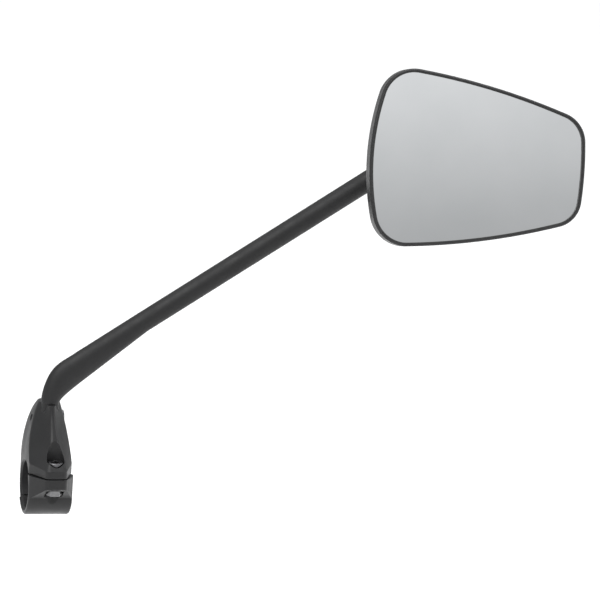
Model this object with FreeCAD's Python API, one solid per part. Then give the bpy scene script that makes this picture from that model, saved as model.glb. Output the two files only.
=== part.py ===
import FreeCAD, Part
import math
import os

# Bicycle mirror: a hinged handlebar clamp, a bent arm that swivels in it, and a mirror head on a ball joint.
# Units are millimetres. The origin is the centre of the handlebar bore. +X runs along the handlebar towards
# the mirror, -Y points at the rider, and +Z is the axis of the arm's stem.

Vec = FreeCAD.Vector
ORIGIN = Vec(0, 0, 0)
X_AXIS = Vec(1, 0, 0)
Y_AXIS = Vec(0, 1, 0)
Z_AXIS = Vec(0, 0, 1)

# ---- General clearances ----
running_gap = 0.05          # radial gap of a turning fit
free_gap = 0.3              # gap between faces that move past each other
screw_hole_gap = 0.25       # radial gap round a screw in a plain hole
reach = 80.0                # length of a cutting tool that passes right through

# ---- Handlebar clamp ----
bar_radius = 11.1           # 22.2 mm handlebar
ring_wall = 2.8
body_half_width = 10.0
jaw_half_width = 10.4
mouth_chamfer = 0.8         # at both ends of the bore
rim_round = 1.0             # outer edges of the ring
split_height = 7.1          # plane between body and jaw, above the bore's axis
split_slope = 5.4           # degrees; the plane rises towards the front
split_gap = 0.6
nose_front = 22.5           # from the bore's axis to the tip of the screw lug
nose_half_width = 4.5
nose_round = 2.5
body_shoulder = 9.0         # where the flanks meet the sides, in front of the bore's axis
jaw_shoulder = 12.5
shoulder_round = 4.0
shoulder_height = 13.0      # where the body starts to taper
body_top = 39.2
top_half_width = 4.95
top_front = 6.0
top_back = 7.2
top_ridge_half = 0.9        # the front narrows to a ridge
top_shoulder = -2.5
taper_steps = 7
lug_slope_top = 4.4         # the jaw's lug runs back from here
lug_slope_back = -12.0
lug_slope_foot = -3.8

# ---- Clamp screw: M4 cap screw, washer and nut ----
m4_radius = 2.0
m4_head_radius = 3.5
m4_key_flats = 3.0
m4_nut_flats = 7.0
m4_nut_height = 3.2
screw_x = 0.8
screw_y = -17.0
screw_seat = 11.3           # floor of the head's recess
recess_radius = 4.2
washer_thickness = 0.8
clamp_head_height = 4.0
clamp_screw_length = 12.0
nut_top = 3.7
nut_pocket_radius = 4.3
nut_drop = 1.5              # how far the nut comes down as the screw is undone
jaw_swing = 1.1             # how far the jaw slides past the screw and nut as it opens

# ---- Clamp hinge ----
hinge_y = 10.8
hinge_z = -10.8
knuckle_radius = 2.8
hinge_pin_radius = 1.5
hinge_half_length = 7.5
centre_knuckle_half = 3.6

# ---- Arm swivel ----
stem_radius = 4.1
neck_widening = 0.15        # the neck above the clamp is this much wider than the stem, all round
socket_floor = 19.5
pinch_slot = 1.0
swivel_height = 30.5
swivel_y = 5.5              # the cross screw passes behind the stem, in its groove
swivel_seat_x = 4.3
swivel_head_height = 2.6
swivel_washer_thickness = 0.6
swivel_recess_radius = 3.8
swivel_screw_length = 11.0
pilot_radius = 1.65
groove_gap = 0.35

# ---- Arm ----
arm_thickness = 8.0
arm_width = 9.5             # along the straight run
elbow_width = 13.4
elbow_reach = 8.5           # the run starts here, this far from the stem's axis
elbow_rise = 16.8           # and this far above the clamp
taper_length = 39.0
bend_overlap = 6.0          # the smooth bend runs on this far into the taper
eye_reach = 168.4           # from the stem's axis to the eye
eye_height = 163.0          # from the bore's axis to the eye
eye_radius = 7.5
eye_round = 0.9

# ---- Ball stud ----
ball_offset = 15.0          # from the arm's middle plane to the ball's centre
ball_radius = 6.5
neck_radius = 2.6
stud_radius = 3.0
stud_flange_radius = 5.0
stud_flange_thickness = 1.2
stud_washer_thickness = 0.8
stud_nut_flats = 10.0
stud_nut_thickness = 3.2
eye_floor = 1.0             # floor of the nut's recess, from the arm's middle plane
nut_recess_gap = 0.35
stud_tip_proud = 0.6

# ---- Ball cup and its spring ----
cup_wall = 1.05
cup_mouth_angle = 45.0      # from the stud's axis
cup_front_angle = 95.0
socket_mouth_angle = 52.0
dome_wall = 2.15
pressure_cup_radius = 5.2
pressure_flange_gap = 0.25   # inside the housing's socket
pressure_flange_thickness = 1.1
pressure_cup_back = 7.6     # distances forward of the ball's centre, from here on
spring_height = 1.2
spring_thickness = 0.5
spring_inner_radius = 3.6
spring_edge_gap = 0.85
retainer_thickness = 1.2
retainer_radius = 14.6
retainer_hole_radius = 3.0
retainer_pitch_radius = 11.9
retainer_screw_count = 3
retainer_boss_radius = 2.5
m25_radius = 1.25
m25_head_radius = 2.25
m25_head_height = 1.5
retainer_screw_depth = 4.0

# ---- Mirror head, in its own frame: the ball's centre is the origin and the glass faces -Y ----
head_tilt = -17.0           # at rest the glass faces a little upwards
head_width = 100.9
head_height = 81.1
ball_from_left = 32.3
ball_from_bottom = 42.5
rim_front = 15.0            # from the ball's centre to the front of the rim
top_left_radius = 15.8
top_right_radius = 14.2
bottom_right_radius = 13.3
bottom_left_radius = 16.0
top_left_in = 21.1          # corner centres, from the head's left, right, top or bottom
top_right_down = 33.6
bottom_right_in = 15.1
bottom_right_up = 22.0
bottom_left_in = 17.5
top_side_radius = 328.5
right_side_radius = 171.5
bottom_side_radius = 326.0
left_side_radius = 115.2
side_depth = 7.0            # straight side wall behind the rim
crown_depth = 8.5
crown_end_scale = 0.25
crown_steps = 6
back_wall = 2.2
rim_chamfer = 0.7
lip_width = 1.2
gasket_width = 0.5
gasket_recess = 0.35
carrier_ledge = 2.0
glass_recess = 0.2
glass_thickness = 2.0
glass_curve_radius = 1250.0
pad_thickness = 0.6
pad_border = 5.0
carrier_back = 9.2          # from the ball's centre to the carrier's flat back
carrier_access_gap = 0.7

ring_radius = bar_radius + ring_wall
socket_radius = stem_radius + running_gap
cup_radius = ball_radius + running_gap + cup_wall
pressure_flange_radius = cup_radius + running_gap - pressure_flange_gap
spring_outer_radius = cup_radius + running_gap - spring_edge_gap
arm_run = Vec(eye_reach - elbow_reach, 0, eye_height - body_top - elbow_rise)
ball_centre = Vec(eye_reach, -ball_offset, eye_height)


# ---- Helpers ----
def cylinder(radius, start, axis, length):
    return Part.makeCylinder(radius, length, start, axis)


def polygon_face(points):
    return Part.Face(Part.makePolygon(points + [points[0]]))


def side_slab(points, half_width):
    """A slab along X whose outline is given as (y, z) points."""
    face = polygon_face([Vec(-half_width, y, z) for y, z in points])
    return face.extrude(Vec(2 * half_width, 0, 0))


def hexagon(flats, start, axis, length):
    """A hexagonal prism along Y or Z, with a corner towards +X and -X."""
    corner = flats / math.sqrt(3)
    points = []
    for k in range(6):
        angle = math.radians(60 * k)
        across = corner * math.cos(angle)
        along = corner * math.sin(angle)
        other = Vec(0, along, 0) if axis == Z_AXIS else Vec(0, 0, along)
        points.append(start + Vec(across, 0, 0) + other)
    return polygon_face(points).extrude(axis * length)


def ring(outer, inner, start, axis, length):
    return cylinder(outer, start, axis, length).cut(cylinder(inner, start, axis, length))


def rounded_polygon(points, radii):
    """A closed wire of straight sides and tangent corner arcs."""
    count = len(points)
    starts = []
    middles = []
    ends = []
    for i in range(count):
        corner = points[i]
        to_last = (points[i - 1] - corner).normalize()
        to_next = (points[(i + 1) % count] - corner).normalize()
        half_angle = to_last.getAngle(to_next) / 2
        bisector = (to_last + to_next).normalize()
        setback = radii[i] / math.tan(half_angle)
        starts.append(corner + to_last * setback)
        ends.append(corner + to_next * setback)
        middles.append(corner + bisector * (radii[i] / math.sin(half_angle) - radii[i]))
    edges = []
    for i in range(count):
        edges.append(Part.Arc(starts[i], middles[i], ends[i]).toShape())
        edges.append(Part.LineSegment(ends[i], starts[(i + 1) % count]).toShape())
    return Part.Wire(edges)


def revolve(points, axis):
    """A full turn about an axis through the origin, of an outline given as points."""
    return polygon_face(points).revolve(ORIGIN, axis, 360)


def smooth_loft(wires):
    return Part.makeLoft(wires, True, False, False, 3)


def save(name, shape):
    shape.exportStep("parts/" + name + ".step")


# ---- Handlebar clamp ----
def clamp_plan(z, nose_x, front, facet_half, rounding, shoulder, half_width, back, back_round):
    """The clamp's outline at one height: a front facet, two flanks, two sides and the back."""
    points = [
        Vec(nose_x - facet_half, -front, z),
        Vec(nose_x + facet_half, -front, z),
        Vec(half_width, -shoulder, z),
        Vec(half_width, back, z),
        Vec(-half_width, back, z),
        Vec(-half_width, -shoulder, z),
    ]
    radii = [rounding, rounding, shoulder_round, back_round, back_round, shoulder_round]
    return rounded_polygon(points, radii)


def nose_plan(z, shoulder, half_width):
    front = nose_front
    return clamp_plan(z, screw_x, front, nose_half_width, nose_round, shoulder, half_width, ring_radius, rim_round)


def clamp_taper():
    """The upper body: the front slopes back and narrows to a ridge, and the sides close in on the socket."""
    plans = []
    for k in range(taper_steps + 1):
        share = k / taper_steps
        left = 1 - share
        z = shoulder_height + share * (body_top - shoulder_height)
        plans.append(
            clamp_plan(
                z,
                screw_x * (1 - share ** 2),
                top_front + (nose_front - top_front) * left ** 1.5,
                top_ridge_half + (nose_half_width - top_ridge_half) * left ** 3,
                1.3 + (nose_round - 1.3) * left ** 2,
                top_shoulder + (body_shoulder - top_shoulder) * left ** 2,
                top_half_width + (body_half_width - top_half_width) * (1 - share ** 1.7),
                top_back + (ring_radius - top_back) * (1 - share ** 4.5),
                rim_round + 1.5 * share,
            )
        )
    return smooth_loft(plans)


def clamp_block(shoulder, half_width):
    """The ring and the screw lugs below the shoulder, before they are split."""
    plan = Part.Face(nose_plan(-ring_radius - 1, shoulder, half_width))
    plan_prism = plan.extrude(Vec(0, 0, shoulder_height + ring_radius + 1))
    barrel = cylinder(ring_radius, Vec(-half_width, 0, 0), X_AXIS, 2 * half_width)
    rims = [edge for edge in barrel.Edges if edge.Curve.TypeId == "Part::GeomCircle"]
    barrel = barrel.makeFillet(rim_round, rims)
    lug_front = -nose_front - 1
    lugs = side_slab(
        [
            (lug_front, shoulder_height),
            (lug_front, lug_slope_top + 0.8),
            (lug_slope_back, lug_slope_foot),
            (0, lug_slope_foot),
            (0, 0),
            (ring_radius, 0),
            (ring_radius, shoulder_height),
        ],
        half_width,
    )
    return plan_prism.common(barrel.fuse(lugs))


def bar_bore():
    """The handlebar's bore with a chamfer at each mouth of body and jaw."""
    tool = cylinder(bar_radius, Vec(-reach / 2, 0, 0), X_AXIS, reach)
    length = mouth_chamfer + jaw_half_width - body_half_width
    for side in (-1, 1):
        start = Vec(side * (jaw_half_width - length), 0, 0)
        tool = tool.fuse(Part.makeCone(bar_radius, bar_radius + length, length, start, X_AXIS * side))
    return tool


def jaw_zone(offset):
    """Below the split plane at the front, and in front of the hinge's radial plane at the back."""
    edge = split_height - offset
    front_edge = edge + reach * math.tan(math.radians(split_slope))
    slant = offset * math.sqrt(2)
    return side_slab(
        [(-reach, front_edge), (0, edge), (0, -slant), (reach, -reach - slant), (-reach, -reach - slant)],
        reach,
    )


def knuckle(start_x, end_x, radius):
    return cylinder(radius, Vec(start_x, hinge_y, hinge_z), X_AXIS, end_x - start_x)


def outer_knuckles(radius, side_gap):
    left = knuckle(-hinge_half_length, -centre_knuckle_half - side_gap, radius)
    right = knuckle(centre_knuckle_half + side_gap, hinge_half_length, radius)
    return left.fuse(right)


def swivel_axis_cylinder(radius, start_x, length):
    return cylinder(radius, Vec(start_x, swivel_y, swivel_height), X_AXIS, length)


def make_clamp_body():
    shape = clamp_block(body_shoulder, body_half_width).fuse(clamp_taper())
    shape = shape.cut(jaw_zone(-split_gap / 2))
    shape = shape.fuse(knuckle(-centre_knuckle_half, centre_knuckle_half, knuckle_radius))
    shape = shape.cut(bar_bore())
    shape = shape.cut(outer_knuckles(knuckle_radius + free_gap, 0))
    hinge_hole = hinge_pin_radius + running_gap
    shape = shape.cut(knuckle(-reach / 2, reach / 2, hinge_hole))
    shape = shape.cut(cylinder(recess_radius, Vec(screw_x, screw_y, screw_seat), Z_AXIS, reach))
    shank_hole = m4_radius + screw_hole_gap
    shape = shape.cut(cylinder(shank_hole, Vec(screw_x, screw_y, 0), Z_AXIS, reach))
    shape = shape.cut(cylinder(socket_radius, Vec(0, 0, socket_floor), Z_AXIS, reach))
    slot = Part.makeBox(pinch_slot, reach, reach, Vec(-pinch_slot / 2, 0, socket_floor))
    shape = shape.cut(slot)
    shape = shape.cut(swivel_axis_cylinder(swivel_recess_radius, swivel_seat_x, reach))
    shape = shape.cut(swivel_axis_cylinder(m4_radius + screw_hole_gap, 0, reach))
    shape = shape.cut(swivel_axis_cylinder(pilot_radius, -reach, reach))
    screw_tip = swivel_seat_x + swivel_washer_thickness - swivel_screw_length
    return shape.cut(swivel_axis_cylinder(m4_radius, screw_tip, -screw_tip))


def make_clamp_jaw():
    shape = clamp_block(jaw_shoulder, jaw_half_width).common(jaw_zone(split_gap / 2))
    shape = shape.fuse(outer_knuckles(knuckle_radius, free_gap / 2))
    shape = shape.cut(bar_bore())
    shape = shape.cut(knuckle(-centre_knuckle_half, centre_knuckle_half, knuckle_radius + free_gap))
    shape = shape.cut(knuckle(-reach / 2, reach / 2, hinge_pin_radius))
    slot_radius = m4_radius + screw_hole_gap
    slot = cylinder(slot_radius, Vec(screw_x, screw_y, -reach / 2), Z_AXIS, reach)
    slot = slot.fuse(slot.translated(Vec(0, jaw_swing, 0)))
    web_start = Vec(screw_x - slot_radius, screw_y, -reach / 2)
    slot = slot.fuse(Part.makeBox(2 * slot_radius, jaw_swing, reach, web_start))
    half_x = m4_nut_flats / math.sqrt(3) + free_gap / 2
    half_y = m4_nut_flats / 2 + free_gap
    seat_height = m4_nut_height + nut_drop
    seat_start = Vec(screw_x - half_x, screw_y - half_y, nut_top - seat_height)
    seat = Part.makeBox(2 * half_x, 2 * half_y + jaw_swing, seat_height, seat_start)
    pocket_depth = nut_top - m4_nut_height + reach
    pocket = cylinder(nut_pocket_radius, Vec(screw_x, screw_y, -reach), Z_AXIS, pocket_depth)
    return shape.cut(slot).cut(seat).cut(pocket)


def make_hinge_pin():
    return knuckle(-hinge_half_length, hinge_half_length, hinge_pin_radius)


def cap_screw(head_base, axis, head_radius, head_height, shank_radius, shank_length, key_flats):
    """A socket head screw whose head starts at head_base and points along axis."""
    head = cylinder(head_radius, head_base, axis, head_height)
    rim = [edge for edge in head.Edges if edge.Length > head_radius * 6]
    top_rim = [edge for edge in rim if (edge.CenterOfMass - head_base).dot(axis) > head_height / 2]
    head = head.makeChamfer(0.1 * head_radius, top_rim)
    shank = cylinder(shank_radius, head_base, axis * -1, shank_length)
    tip = head_base - axis * shank_length
    tip_rim = [edge for edge in shank.Edges if (edge.CenterOfMass - tip).Length < 0.01]
    shank = shank.makeChamfer(0.2 * shank_radius, tip_rim[:1])
    key_depth = 0.55 * head_height
    key_base = head_base + axis * (head_height - key_depth)
    if axis == X_AXIS:
        key = hexagon(key_flats, ORIGIN, Z_AXIS, reach)
        key.rotate(ORIGIN, Y_AXIS, 90)
    elif axis == Z_AXIS:
        key = hexagon(key_flats, ORIGIN, Z_AXIS, reach)
    else:
        key = hexagon(key_flats, ORIGIN, Z_AXIS, reach)
        key.rotate(ORIGIN, X_AXIS, 90)
    key.translate(key_base)
    return head.fuse(shank).cut(key)


def make_clamp_screw():
    base = Vec(screw_x, screw_y, screw_seat + washer_thickness)
    return cap_screw(base, Z_AXIS, m4_head_radius, clamp_head_height, m4_radius, clamp_screw_length, m4_key_flats)


def make_clamp_washer():
    start = Vec(screw_x, screw_y, screw_seat)
    return ring(m4_head_radius + 0.3, m4_radius + screw_hole_gap, start, Z_AXIS, washer_thickness)


def make_clamp_nut():
    start = Vec(screw_x, screw_y, nut_top - m4_nut_height)
    nut = hexagon(m4_nut_flats, start, Z_AXIS, m4_nut_height)
    return nut.cut(cylinder(m4_radius + running_gap, start, Z_AXIS, m4_nut_height))


def make_swivel_screw():
    base = Vec(swivel_seat_x + swivel_washer_thickness, swivel_y, swivel_height)
    length = swivel_screw_length
    return cap_screw(base, X_AXIS, m4_head_radius, swivel_head_height, m4_radius, length, m4_key_flats)


def make_swivel_washer():
    start = Vec(swivel_seat_x, swivel_y, swivel_height)
    return ring(m4_head_radius, m4_radius + screw_hole_gap, start, X_AXIS, swivel_washer_thickness)


# ---- Arm ----
def arm_oval(outer, inner, thickness):
    """An oval section of the arm between a point on its outer edge and one on its inner edge."""
    centre = (outer + inner) * 0.5
    return Part.Wire(Part.Ellipse(outer, centre + Y_AXIS * (thickness / 2), centre).toShape())


def run_oval(distance, width):
    """A section of the run, at a distance down from the eye. Its upper edge lies on one straight line."""
    along = arm_run / arm_run.Length
    across = Vec(-along.z, 0, along.x)
    outer = Vec(eye_reach, 0, eye_height) - along * distance + across * (arm_width / 2)
    return arm_oval(outer, outer - across * width, arm_thickness)


def make_arm():
    neck = stem_radius + neck_widening
    bend = [
        (Vec(-neck, 0, 0.4), Vec(neck, 0, 0.4), 2 * neck - 0.05),
        (Vec(-neck + 0.1, 0, 3.3), Vec(neck + 0.35, 0, 1.4), 2 * neck - 0.05),
        (Vec(-neck + 1.0, 0, 7.6), Vec(neck + 1.6, 0, 2.9), 2 * neck - 0.1),
        (Vec(-neck + 3.6, 0, 14.2), Vec(neck + 4.2, 0, 5.4), arm_thickness + 0.2),
    ]
    top = Vec(0, 0, body_top)
    sections = [arm_oval(top + outer, top + inner, thickness) for outer, inner, thickness in bend]
    start = run_oval(arm_run.Length, elbow_width)
    slope = (elbow_width - arm_width) / taper_length
    bend_end = run_oval(arm_run.Length - bend_overlap, elbow_width - slope * bend_overlap)
    taper_end = run_oval(arm_run.Length - taper_length, arm_width)
    elbow = smooth_loft(sections + [start, bend_end])
    taper = Part.makeLoft([bend_end, taper_end], True, True)
    straight = Part.makeLoft([taper_end, run_oval(0, arm_width)], True, True)
    elbow = elbow.fuse(taper)
    half = arm_thickness / 2
    eye = cylinder(eye_radius, Vec(eye_reach, -half, eye_height), Y_AXIS, arm_thickness)
    rims = [edge for edge in eye.Edges if edge.Curve.TypeId == "Part::GeomCircle"]
    eye = eye.makeFillet(eye_round, rims)
    stem_end = socket_floor + running_gap
    stem = cylinder(stem_radius, Vec(0, 0, stem_end), Z_AXIS, body_top + 1.5 - stem_end)
    groove_half = m4_radius + groove_gap
    groove_radius = swivel_y - m4_radius - groove_gap
    groove_start = Vec(0, 0, swivel_height - groove_half)
    stem = stem.cut(ring(stem_radius + 1, groove_radius, groove_start, Z_AXIS, 2 * groove_half))
    shape = stem.fuse([elbow, straight, eye])
    shape = shape.cut(cylinder(stud_radius + running_gap, Vec(eye_reach, -reach / 2, eye_height), Y_AXIS, reach))
    recess = stud_nut_flats / math.sqrt(3) + nut_recess_gap
    return shape.cut(cylinder(recess, Vec(eye_reach, eye_floor, eye_height), Y_AXIS, reach))


# ---- Ball stud ----
def on_eye(y):
    return Vec(eye_reach, y, eye_height)


def make_ball_stud():
    flange_back = -arm_thickness / 2 - running_gap
    flange_front = flange_back - stud_flange_thickness
    tip = eye_floor + stud_washer_thickness + stud_nut_thickness + stud_tip_proud
    ball = Part.makeSphere(ball_radius, ball_centre)
    neck = cylinder(neck_radius, ball_centre, Y_AXIS, flange_front + ball_offset)
    flange = cylinder(stud_flange_radius, on_eye(flange_front), Y_AXIS, stud_flange_thickness)
    shank = cylinder(stud_radius, on_eye(flange_back), Y_AXIS, tip - flange_back)
    tip_rim = [edge for edge in shank.Edges if edge.CenterOfMass.y > tip - 0.01]
    shank = shank.makeChamfer(0.4, tip_rim[:1])
    return ball.fuse([neck, flange, shank])


def make_stud_washer():
    outer = stud_nut_flats / math.sqrt(3)
    return ring(outer, stud_radius + 0.1, on_eye(eye_floor + running_gap), Y_AXIS, stud_washer_thickness)


def make_stud_nut():
    start = on_eye(eye_floor + running_gap + stud_washer_thickness)
    nut = hexagon(stud_nut_flats, start, Y_AXIS, stud_nut_thickness)
    return nut.cut(cylinder(stud_radius, start, Y_AXIS, stud_nut_thickness))


def make_ball_cup():
    """A zone of a hollow sphere round the ball, open to the stud and to the front."""
    inner = ball_radius + running_gap
    outer = inner + cup_wall
    shell = Part.makeSphere(outer).cut(Part.makeSphere(inner))
    mouth = socket_cone(cup_mouth_angle)
    front = Part.makeBox(reach, reach, reach, Vec(-reach / 2, -reach, -reach / 2))
    front.translate(Vec(0, outer * math.cos(math.radians(cup_front_angle)), 0))
    shape = shell.cut(mouth).cut(front)
    shape.translate(ball_centre)
    return shape


def socket_cone(half_angle):
    """A cone from the ball's centre backwards, for the mouth of a socket."""
    length = 2 * ball_radius
    return Part.makeCone(0, length * math.tan(math.radians(half_angle)), length, ORIGIN, Y_AXIS)


# ---- Mirror head ----
def head_corners():
    left = -ball_from_left
    right = head_width - ball_from_left
    bottom = -ball_from_bottom
    top = head_height - ball_from_bottom
    return [
        (Vec(left + top_left_in, 0, top - top_left_radius), top_left_radius),
        (Vec(right - top_right_radius, 0, top - top_right_down), top_right_radius),
        (Vec(right - bottom_right_in, 0, bottom + bottom_right_up), bottom_right_radius),
        (Vec(left + bottom_left_in, 0, bottom + bottom_left_radius), bottom_left_radius),
    ]


def side_centre(first, second, side_radius):
    """Centre of the shallow arc that is tangent to two corner arcs, on the head's inner side."""
    (start, start_radius), (end, end_radius) = first, second
    line = end - start
    span = line.Length
    to_start = side_radius - start_radius
    to_end = side_radius - end_radius
    along = (to_start ** 2 - to_end ** 2 + span ** 2) / (2 * span)
    inward = math.sqrt(to_start ** 2 - along ** 2)
    line.normalize()
    inner_side = Vec(line.z, 0, -line.x)
    return start + line * along + inner_side * inward


def head_outline(inset, scale, y):
    """The head's outline, moved inwards by inset, scaled about the ball and placed at y."""
    corners = head_corners()
    sides = [top_side_radius, right_side_radius, bottom_side_radius, left_side_radius]
    centres = [side_centre(corners[i], corners[(i + 1) % 4], sides[i]) for i in range(4)]

    def put(point):
        return Vec(point.x * scale, y, point.z * scale)

    edges = []
    for i in range(4):
        corner, radius = corners[i]
        following = corners[(i + 1) % 4][0]
        out_start = (corner - centres[i - 1]).normalize()
        out_end = (corner - centres[i]).normalize()
        out_middle = (out_start + out_end).normalize()
        corner_points = [corner + out * (radius - inset) for out in (out_start, out_middle, out_end)]
        edges.append(Part.Arc(*[put(point) for point in corner_points]).toShape())
        next_out = (following - centres[i]).normalize()
        middle_out = (out_end + next_out).normalize()
        side_points = [centres[i] + out * (sides[i] - inset) for out in (out_end, middle_out, next_out)]
        edges.append(Part.Arc(*[put(point) for point in side_points]).toShape())
    return Part.Wire(edges)


def head_prism(inset, front, back):
    """The head's outline extruded, between two distances forward of the ball's centre."""
    return Part.Face(head_outline(inset, 1, -front)).extrude(Vec(0, front - back, 0))


def crown(inset, depth, front):
    """A crowned back: the outline shrinks towards the ball along a quarter ellipse."""
    outlines = []
    for k in range(crown_steps + 1):
        angle = math.radians(90 * k / crown_steps)
        scale = crown_end_scale + (1 - crown_end_scale) * math.cos(angle)
        outlines.append(head_outline(inset, scale, -front + depth * math.sin(angle)))
    return smooth_loft(outlines)


def glass_centre():
    middle_x = head_width / 2 - ball_from_left
    middle_z = head_height / 2 - ball_from_bottom
    return Vec(middle_x, glass_recess - rim_front + glass_curve_radius, middle_z)


def glass_sphere(depth):
    """The convex glass's sphere, or one concentric with it at a depth below its surface."""
    return Part.makeSphere(glass_curve_radius - depth, glass_centre())


def place_head(shape):
    shape.rotate(ORIGIN, X_AXIS, head_tilt)
    shape.translate(ball_centre)
    return shape


def retainer_points():
    points = []
    for k in range(retainer_screw_count):
        angle = math.radians(90 + 360 * k / retainer_screw_count)
        points.append(Vec(retainer_pitch_radius * math.cos(angle), 0, retainer_pitch_radius * math.sin(angle)))
    return points


def make_housing():
    wall_back = rim_front - rim_chamfer - side_depth
    chamfered = Part.makeLoft(
        [head_outline(rim_chamfer, 1, -rim_front), head_outline(0, 1, rim_chamfer - rim_front)], True, True
    )
    shape = chamfered.fuse(head_prism(0, rim_front - rim_chamfer, wall_back))
    shape = shape.fuse(crown(0, crown_depth, wall_back))
    wall_inset = lip_width + carrier_ledge
    shape = shape.cut(head_prism(lip_width, rim_front + 1, carrier_back))
    shape = shape.cut(head_prism(wall_inset, carrier_back, wall_back))
    shape = shape.cut(crown(wall_inset, crown_depth - back_wall, wall_back))
    socket = cup_radius + running_gap
    dome = socket + dome_wall
    boss_front = pressure_cup_back + spring_height
    shape = shape.fuse(cylinder(dome, Vec(0, -boss_front, 0), Y_AXIS, boss_front))
    shape = shape.fuse(Part.makeSphere(dome).cut(cylinder(dome + 1, Vec(0, -dome - 1, 0), Y_AXIS, dome + 1)))
    for point in retainer_points():
        start = point + Vec(0, -boss_front, 0)
        shape = shape.fuse(cylinder(retainer_boss_radius, start, Y_AXIS, boss_front - back_wall))
        shape = shape.cut(cylinder(m25_radius, start, Y_AXIS, retainer_screw_depth))
    shape = shape.cut(cylinder(socket, Vec(0, -boss_front, 0), Y_AXIS, boss_front))
    shape = shape.cut(Part.makeSphere(socket))
    return place_head(shape.cut(socket_cone(socket_mouth_angle)))


def make_pressure_cup():
    back = Vec(0, -pressure_cup_back, 0)
    post = cylinder(pressure_cup_radius, back, Y_AXIS, pressure_cup_back / 2)
    flange = cylinder(pressure_flange_radius, back, Y_AXIS, pressure_flange_thickness)
    shape = post.fuse(flange).cut(Part.makeSphere(ball_radius + running_gap))
    return place_head(shape)


def make_tension_spring():
    """A disc spring: a shallow cone of spring steel."""
    front = -pressure_cup_back - spring_height
    back = -pressure_cup_back
    rise = spring_height - spring_thickness
    shape = revolve(
        [
            Vec(spring_inner_radius, back - spring_thickness, 0),
            Vec(spring_inner_radius, back, 0),
            Vec(spring_outer_radius, back - rise, 0),
            Vec(spring_outer_radius, front, 0),
        ],
        Y_AXIS,
    )
    return place_head(shape)


def retainer_plate_front():
    return pressure_cup_back + spring_height + retainer_thickness


def make_retainer_plate():
    start = Vec(0, -retainer_plate_front(), 0)
    shape = ring(retainer_radius, retainer_hole_radius, start, Y_AXIS, retainer_thickness)
    for point in retainer_points():
        shape = shape.cut(cylinder(m25_radius + 0.1, start + point, Y_AXIS, retainer_thickness))
    return place_head(shape)


def make_retainer_screws():
    length = retainer_thickness + retainer_screw_depth
    screws = []
    for point in retainer_points():
        base = point + Vec(0, -retainer_plate_front(), 0)
        screws.append(cap_screw(base, Y_AXIS * -1, m25_head_radius, m25_head_height, m25_radius, length, 1.5))
    return place_head(Part.makeCompound(screws))


def make_glass_carrier():
    shape = head_prism(lip_width + running_gap, rim_front, carrier_back)
    shape = shape.common(glass_sphere(glass_thickness + pad_thickness))
    access = retainer_radius + carrier_access_gap
    return place_head(shape.cut(cylinder(access, Vec(0, -rim_front, 0), Y_AXIS, rim_front)))


def make_adhesive_pad():
    shape = head_prism(lip_width + pad_border, rim_front, carrier_back)
    shape = shape.common(glass_sphere(glass_thickness))
    return place_head(shape.cut(glass_sphere(glass_thickness + pad_thickness)))


def make_mirror_glass():
    shape = head_prism(lip_width + gasket_width, rim_front, carrier_back)
    shape = shape.common(glass_sphere(0))
    return place_head(shape.cut(glass_sphere(glass_thickness)))


def make_rim_gasket():
    """A thin seal round the glass, inside the housing's lip, that sits on the carrier."""
    front = rim_front - gasket_recess
    shape = head_prism(lip_width, front, carrier_back)
    shape = shape.cut(head_prism(lip_width + gasket_width, front + 1, carrier_back - 1))
    carrier = head_prism(lip_width, rim_front, carrier_back)
    carrier = carrier.common(glass_sphere(glass_thickness + pad_thickness))
    return place_head(shape.cut(carrier))


os.makedirs("parts", exist_ok=True)
save("clamp_body", make_clamp_body())
save("clamp_jaw", make_clamp_jaw())
save("hinge_pin", make_hinge_pin())
save("clamp_screw", make_clamp_screw())
save("clamp_washer", make_clamp_washer())
save("clamp_nut", make_clamp_nut())
save("swivel_screw", make_swivel_screw())
save("swivel_washer", make_swivel_washer())
save("arm", make_arm())
save("ball_stud", make_ball_stud())
save("stud_washer", make_stud_washer())
save("stud_nut", make_stud_nut())
save("ball_cup", make_ball_cup())
save("pressure_cup", make_pressure_cup())
save("tension_spring", make_tension_spring())
save("retainer_plate", make_retainer_plate())
save("retainer_screws", make_retainer_screws())
save("housing", make_housing())
save("glass_carrier", make_glass_carrier())
save("adhesive_pad", make_adhesive_pad())
save("mirror_glass", make_mirror_glass())
save("rim_gasket", make_rim_gasket())
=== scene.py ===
import math

import bpy
from mathutils import Matrix, Vector


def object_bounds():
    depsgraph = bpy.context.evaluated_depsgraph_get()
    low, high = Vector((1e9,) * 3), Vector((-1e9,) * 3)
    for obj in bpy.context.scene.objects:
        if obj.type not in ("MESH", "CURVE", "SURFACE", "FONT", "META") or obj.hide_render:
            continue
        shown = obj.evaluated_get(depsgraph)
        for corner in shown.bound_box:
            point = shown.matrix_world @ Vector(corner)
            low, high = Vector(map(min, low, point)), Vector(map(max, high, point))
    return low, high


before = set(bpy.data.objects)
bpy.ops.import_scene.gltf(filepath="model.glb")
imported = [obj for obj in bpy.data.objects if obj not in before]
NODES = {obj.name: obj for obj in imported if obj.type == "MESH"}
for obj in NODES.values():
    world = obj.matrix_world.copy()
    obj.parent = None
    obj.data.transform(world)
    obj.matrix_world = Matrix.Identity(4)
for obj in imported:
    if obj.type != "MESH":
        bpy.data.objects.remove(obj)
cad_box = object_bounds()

MM = 0.001

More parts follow.
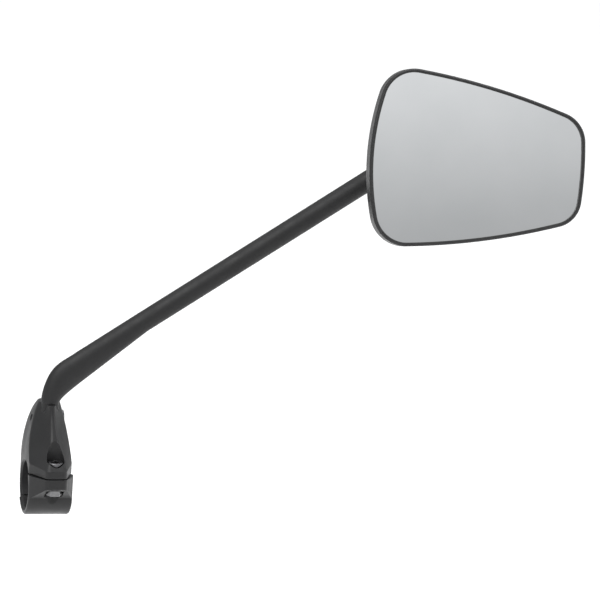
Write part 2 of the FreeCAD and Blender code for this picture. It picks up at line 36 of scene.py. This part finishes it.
# The object as it is seen: leaning back about the handlebar, and turned to show its left flank.
VIEW_LEAN = math.radians(-17.0)
VIEW_TURN = math.radians(-11.4)
VIEW_RIGHT = 0.1169          # from the bore's centre to the middle of the picture
VIEW_UP = 0.0846
VIEW_WIDTH = 0.276
LENS = 600.0
SENSOR = 36.0
FLOOR_DROP = 0.35            # below the lowest point of the clamp
HORIZON_STOPS = [
    (0.0, (0.55, 0.55, 0.55)),
    (0.20, (0.34, 0.345, 0.35)),
    (0.38, (0.80, 0.81, 0.82)),
    (1.0, (1.0, 1.0, 1.0)),
]


# ---- Camera, floor and light ----
def view_frame():
    """Rotation whose columns are the view's right, up and back."""
    lean = Matrix.Rotation(VIEW_LEAN, 3, "X")
    turn = Matrix.Rotation(VIEW_TURN, 3, "Z")
    return lean @ turn @ Matrix.Rotation(math.radians(90), 3, "X")


def make_camera():
    axes = view_frame()
    right, up, back = axes.col[0], axes.col[1], axes.col[2]
    aim = right * VIEW_RIGHT + up * VIEW_UP
    distance = VIEW_WIDTH * LENS / SENSOR
    data = bpy.data.cameras.new("camera")
    data.lens = LENS
    data.sensor_width = SENSOR
    data.clip_end = 100.0
    camera = bpy.data.objects.new("camera", data)
    camera.matrix_world = Matrix.Translation(aim + back * distance) @ axes.to_4x4()
    bpy.context.scene.collection.objects.link(camera)
    bpy.context.scene.camera = camera
    return aim


def area_light(name, direction, distance, size, power, aim):
    """A soft square light that faces the object from a direction."""
    data = bpy.data.lights.new(name, "AREA")
    data.shape = "SQUARE"
    data.size = size
    data.energy = power
    light = bpy.data.objects.new(name, data)
    away = Vector(direction).normalized()
    light.location = aim + away * distance
    light.rotation_euler = away.to_track_quat("Z", "Y").to_euler()
    bpy.context.scene.collection.objects.link(light)


def make_floor():
    """A plain pale ground, well below the object."""
    mesh = bpy.data.meshes.new("floor")
    half = 12.0
    level = cad_box[0][2] - FLOOR_DROP
    corners = [(-half, -half, level), (half, -half, level), (half, half, level), (-half, half, level)]
    mesh.from_pydata(corners, [], [(0, 1, 2, 3)])
    floor = bpy.data.objects.new("floor", mesh)
    bpy.context.scene.collection.objects.link(floor)
    material = bpy.data.materials.new("floor")
    material.use_nodes = True
    shader = material.node_tree.nodes["Principled BSDF"]
    shader.inputs["Base Color"].default_value = (0.93, 0.93, 0.93, 1)
    shader.inputs["Roughness"].default_value = 0.9
    shader.inputs["Specular IOR Level"].default_value = 0.1
    mesh.materials.append(material)


def make_world():
    """An even pale studio, a little darker towards the horizon so that gloss has something to show."""
    world = bpy.data.worlds.new("studio")
    bpy.context.scene.world = world
    world.use_nodes = True
    graph = Graph(world.node_tree)
    direction = graph.add("ShaderNodeTexCoord")
    split = graph.add("ShaderNodeSeparateXYZ", Vector=direction.outputs["Generated"])
    ramp = graph.ramp(split.outputs["Z"], HORIZON_STOPS)
    background = world.node_tree.nodes["Background"]
    graph.link(ramp, background.inputs["Color"])
    background.inputs["Strength"].default_value = 1.0


# ---- Node materials ----
class Graph:
    """Adds nodes and links by name, so that each material below reads as a list of what it is made of."""

    def __init__(self, tree):
        self.tree = tree

    def link(self, source, socket):
        self.tree.links.new(source, socket)

    def add(self, kind, settings=None, **inputs):
        node = self.tree.nodes.new(kind)
        for name, value in (settings or {}).items():
            setattr(node, name, value)
        for name, value in inputs.items():
            socket = node.inputs[name.replace("_", " ")]
            if isinstance(value, bpy.types.NodeSocket):
                self.link(value, socket)
            else:
                socket.default_value = value
        return node

    def ramp(self, value, stops):
        node = self.tree.nodes.new("ShaderNodeValToRGB")
        elements = node.color_ramp.elements
        while len(elements) < len(stops):
            elements.new(0.5)
        for element, (position, colour) in zip(elements, stops):
            element.position = position
            element.color = (*colour, 1)
        self.link(value, node.inputs["Fac"])
        return node.outputs["Color"]

    def noise(self, where, size, detail=3.0, rough=0.5):
        """Noise whose features are about size metres across."""
        node = self.add("ShaderNodeTexNoise", Vector=where, Scale=1 / size, Detail=detail, Roughness=rough)
        return node.outputs["Fac"]

    def spread(self, value, low, high, from_low=0.3, from_high=0.7):
        node = self.add("ShaderNodeMapRange", Value=value)
        node.inputs["From Min"].default_value = from_low
        node.inputs["From Max"].default_value = from_high
        node.inputs["To Min"].default_value = low
        node.inputs["To Max"].default_value = high
        return node.outputs["Result"]

    def math(self, operation, first, second):
        node = self.add("ShaderNodeMath", {"operation": operation})
        for socket, value in zip(node.inputs, (first, second)):
            if isinstance(value, bpy.types.NodeSocket):
                self.link(value, socket)
            else:
                socket.default_value = value
        return node.outputs[0]

    def mix(self, share, first, second):
        node = self.add("ShaderNodeMix", {"data_type": "RGBA"})
        for socket, value in ((node.inputs[0], share), (node.inputs[6], first), (node.inputs[7], second)):
            if isinstance(value, bpy.types.NodeSocket):
                self.link(value, socket)
            elif isinstance(value, tuple):
                socket.default_value = (*value, 1)
            else:
                socket.default_value = value
        return node.outputs[2]

    def bump(self, height, depth, normal=None):
        node = self.add("ShaderNodeBump", Height=height, Distance=depth, Strength=1.0)
        if normal is not None:
            self.link(normal, node.inputs["Normal"])
        return node.outputs["Normal"]

    def rounded(self, width):
        """The normal of the surface as if its edges were rounded."""
        return self.add("ShaderNodeBevel", {"samples": 6}, Radius=width).outputs["Normal"]

    def edges(self, width):
        """1 on sharp edges and 0 away from them."""
        rounded = self.add("ShaderNodeBevel", {"samples": 4}, Radius=width)
        flat = self.add("ShaderNodeNewGeometry")
        dot = self.add("ShaderNodeVectorMath", {"operation": "DOT_PRODUCT"})
        self.link(rounded.outputs["Normal"], dot.inputs[0])
        self.link(flat.outputs["Normal"], dot.inputs[1])
        return self.spread(dot.outputs["Value"], 1.0, 0.0, 0.86, 0.995)


def shader_of(name):
    """A new material: its graph, its main shader and the object's own coordinates."""
    material = bpy.data.materials.new(name)
    material.use_nodes = True
    graph = Graph(material.node_tree)
    shader = material.node_tree.nodes["Principled BSDF"]
    where = graph.add("ShaderNodeTexCoord").outputs["Object"]
    return material, graph, shader, where


def shade(colour, factor):
    """The colour made lighter or darker."""
    return tuple(min(1.0, channel * factor) for channel in colour)


def moulded_plastic(name, colour, roughness, grain, depth, edge_highlight_level):
    """Spark-eroded moulded plastic: fine grain, uneven gloss, faint mottling, and a painted highlight that
    lightens every sharp edge in uneven patches and makes it a little glossier.
    """
    material, graph, shader, where = shader_of(name)
    mottle = graph.noise(where, 9 * MM, 4.0)
    fine = graph.noise(where, 0.8 * MM, 2.0)
    base = graph.mix(graph.spread(mottle, 0.0, 1.0), shade(colour, 0.88), shade(colour, 1.12))
    base = graph.mix(graph.spread(fine, 0.0, 0.25), base, shade(colour, 1.5))
    # Painted highlight: the base colour is lightened on every sharp edge, inner creases too, in uneven
    # patches, and these edges are made a little glossier.
    patches = graph.spread(graph.noise(where, 2.5 * MM), 0.0, 1.0)
    edge_highlight = graph.math("MULTIPLY", graph.edges(0.35 * MM), patches)
    base = graph.mix(graph.math("MULTIPLY", edge_highlight, edge_highlight_level), base, shade(colour, 3.2))
    graph.link(base, shader.inputs["Base Color"])
    shader.inputs["Specular IOR Level"].default_value = 0.22
    gloss = graph.spread(graph.noise(where, 5 * MM, 3.0), roughness - 0.05, roughness + 0.06)
    gloss = graph.math("SUBTRACT", gloss, graph.math("MULTIPLY", edge_highlight, 0.12))
    graph.link(gloss, shader.inputs["Roughness"])
    cells = graph.add("ShaderNodeTexVoronoi", {"feature": "SMOOTH_F1"}, Vector=where, Scale=1 / grain)
    pits = graph.math("ADD", cells.outputs["Distance"], graph.noise(where, grain / 2, 2.0))
    normal = graph.bump(pits, depth, graph.rounded(0.3 * MM))
    normal = graph.bump(graph.noise(where, 14 * MM, 1.0), 0.05 * MM, normal)
    graph.link(normal, shader.inputs["Normal"])
    return material


def turned_steel(name, colour, roughness, tint=None):
    """Plated or oiled steel with fine tool marks and small scratches."""
    material, graph, shader, where = shader_of(name)
    shader.inputs["Metallic"].default_value = 1.0
    patch = graph.noise(where, 1.6 * MM, 4.0)
    base = graph.mix(graph.spread(patch, 0.0, 1.0), shade(colour, 0.8), tint or shade(colour, 1.15))
    # Painted highlight: every sharp edge, inner creases too, is drawn half-way towards a light grey.
    steel_edge_highlight = graph.edges(0.2 * MM)
    base = graph.mix(graph.math("MULTIPLY", steel_edge_highlight, 0.5), base, (0.55, 0.55, 0.56))
    graph.link(base, shader.inputs["Base Color"])
    graph.link(graph.spread(patch, roughness - 0.08, roughness + 0.1), shader.inputs["Roughness"])
    marks = graph.noise(where, 0.12 * MM, 2.0)
    graph.link(graph.bump(marks, 0.006 * MM, graph.rounded(0.15 * MM)), shader.inputs["Normal"])
    return material


def silvered_glass():
    """The convex glass: bright and sharp, with the faintest dust and wiping marks."""
    material, graph, shader, where = shader_of("mirror_glass")
    shader.inputs["Metallic"].default_value = 1.0
    haze = graph.noise(where, 26 * MM, 5.0)
    base = graph.mix(graph.spread(haze, 0.0, 1.0), (0.86, 0.875, 0.88), (0.90, 0.91, 0.915))
    graph.link(base, shader.inputs["Base Color"])
    stretched = graph.add("ShaderNodeMapping", {"vector_type": "POINT"}, Vector=where)
    stretched.inputs["Rotation"].default_value = (0, math.radians(24), 0)
    stretched.inputs["Scale"].default_value = (0.18, 1, 1)
    wiped = graph.noise(stretched.outputs["Vector"], 1.5 * MM, 4.0)
    specks = graph.spread(graph.noise(where, 0.5 * MM, 1.0), 0.0, 1.0, 0.72, 0.80)
    rough = graph.spread(wiped, 0.012, 0.045, 0.35, 0.75)
    graph.link(graph.math("ADD", rough, graph.math("MULTIPLY", specks, 0.12)), shader.inputs["Roughness"])
    shader.inputs["Coat Weight"].default_value = 0.5
    shader.inputs["Coat Roughness"].default_value = 0.01
    return material


def soft_rubber(name, colour, roughness):
    """Matt rubber or foam with a faint uneven bloom."""
    material, graph, shader, where = shader_of(name)
    bloom = graph.noise(where, 3 * MM, 4.0)
    base = graph.mix(graph.spread(bloom, 0.0, 1.0), colour, shade(colour, 1.6))
    graph.link(base, shader.inputs["Base Color"])
    graph.link(graph.spread(bloom, roughness - 0.06, roughness + 0.08), shader.inputs["Roughness"])
    graph.link(graph.bump(graph.noise(where, 0.15 * MM, 2.0), 0.01 * MM), shader.inputs["Normal"])
    return material


def acetal(name, colour):
    """Smooth, slightly cloudy white plastic."""
    material, graph, shader, where = shader_of(name)
    cloud = graph.noise(where, 2.2 * MM, 3.0)
    base = graph.mix(graph.spread(cloud, 0.0, 1.0), shade(colour, 0.9), colour)
    graph.link(base, shader.inputs["Base Color"])
    graph.link(graph.spread(cloud, 0.24, 0.36), shader.inputs["Roughness"])
    graph.link(graph.bump(graph.noise(where, 0.2 * MM, 2.0), 0.008 * MM), shader.inputs["Normal"])
    shader.inputs["Subsurface Weight"].default_value = 0.1
    shader.inputs["Subsurface Radius"].default_value = (0.001, 0.001, 0.001)
    return material


def paint(materials, names):
    """Gives CAD nodes their material."""
    for name in names:
        mesh = NODES[name].data
        mesh.materials.clear()
        mesh.materials.append(materials[name])


# ---- Build ----
bpy.context.scene.view_settings.view_transform = "Standard"
aim = make_camera()
make_floor()
make_world()
area_light("key", (-0.75, -0.8, 1.0), 1.6, 1.2, 26.0, aim)
area_light("right_strip", (1.0, -0.25, 0.35), 1.5, 0.9, 12.0, aim)
area_light("top", (0.1, 0.3, 1.0), 1.8, 1.6, 22.0, aim)

CLAMP_GREY = (0.013, 0.013, 0.0134)
ARM_GREY = (0.011, 0.011, 0.0113)
HOUSING_GREY = (0.015, 0.015, 0.0155)
clamp_plastic = moulded_plastic("clamp_plastic", CLAMP_GREY, 0.42, 0.35 * MM, 0.012 * MM, 0.5)
arm_plastic = moulded_plastic("arm_plastic", ARM_GREY, 0.52, 0.45 * MM, 0.022 * MM, 0.3)
housing_plastic = moulded_plastic("housing_plastic", HOUSING_GREY, 0.40, 0.4 * MM, 0.012 * MM, 0.6)
carrier_plastic = moulded_plastic("carrier_plastic", (0.05, 0.05, 0.05), 0.5, 0.4 * MM, 0.01 * MM, 0.2)
black_steel = turned_steel("black_steel", (0.10, 0.10, 0.105), 0.34)
bright_steel = turned_steel("bright_steel", (0.40, 0.40, 0.415), 0.30, (0.47, 0.465, 0.44))
dull_steel = turned_steel("dull_steel", (0.17, 0.17, 0.18), 0.34, (0.22, 0.22, 0.215))
spring_steel = turned_steel("spring_steel", (0.42, 0.42, 0.44), 0.3)
rubber = soft_rubber("rubber", (0.012, 0.012, 0.012), 0.6)
foam = soft_rubber("foam", (0.06, 0.06, 0.06), 0.8)
cup_acetal = acetal("cup_acetal", (0.62, 0.61, 0.56))
glass = silvered_glass()

MATERIALS = {
    "clamp_body": clamp_plastic, "clamp_jaw": clamp_plastic, "hinge_pin": bright_steel,
    "clamp_screw": black_steel, "clamp_washer": bright_steel, "clamp_nut": dull_steel,
    "swivel_screw": black_steel, "swivel_washer": bright_steel, "arm": arm_plastic,
    "ball_stud": bright_steel, "stud_washer": bright_steel, "stud_nut": bright_steel,
    "ball_cup": cup_acetal, "pressure_cup": cup_acetal, "tension_spring": spring_steel,
    "retainer_plate": spring_steel, "retainer_screws": bright_steel, "housing": housing_plastic,
    "glass_carrier": carrier_plastic, "adhesive_pad": foam, "mirror_glass": glass, "rim_gasket": rubber,
}
paint(MATERIALS, MATERIALS)
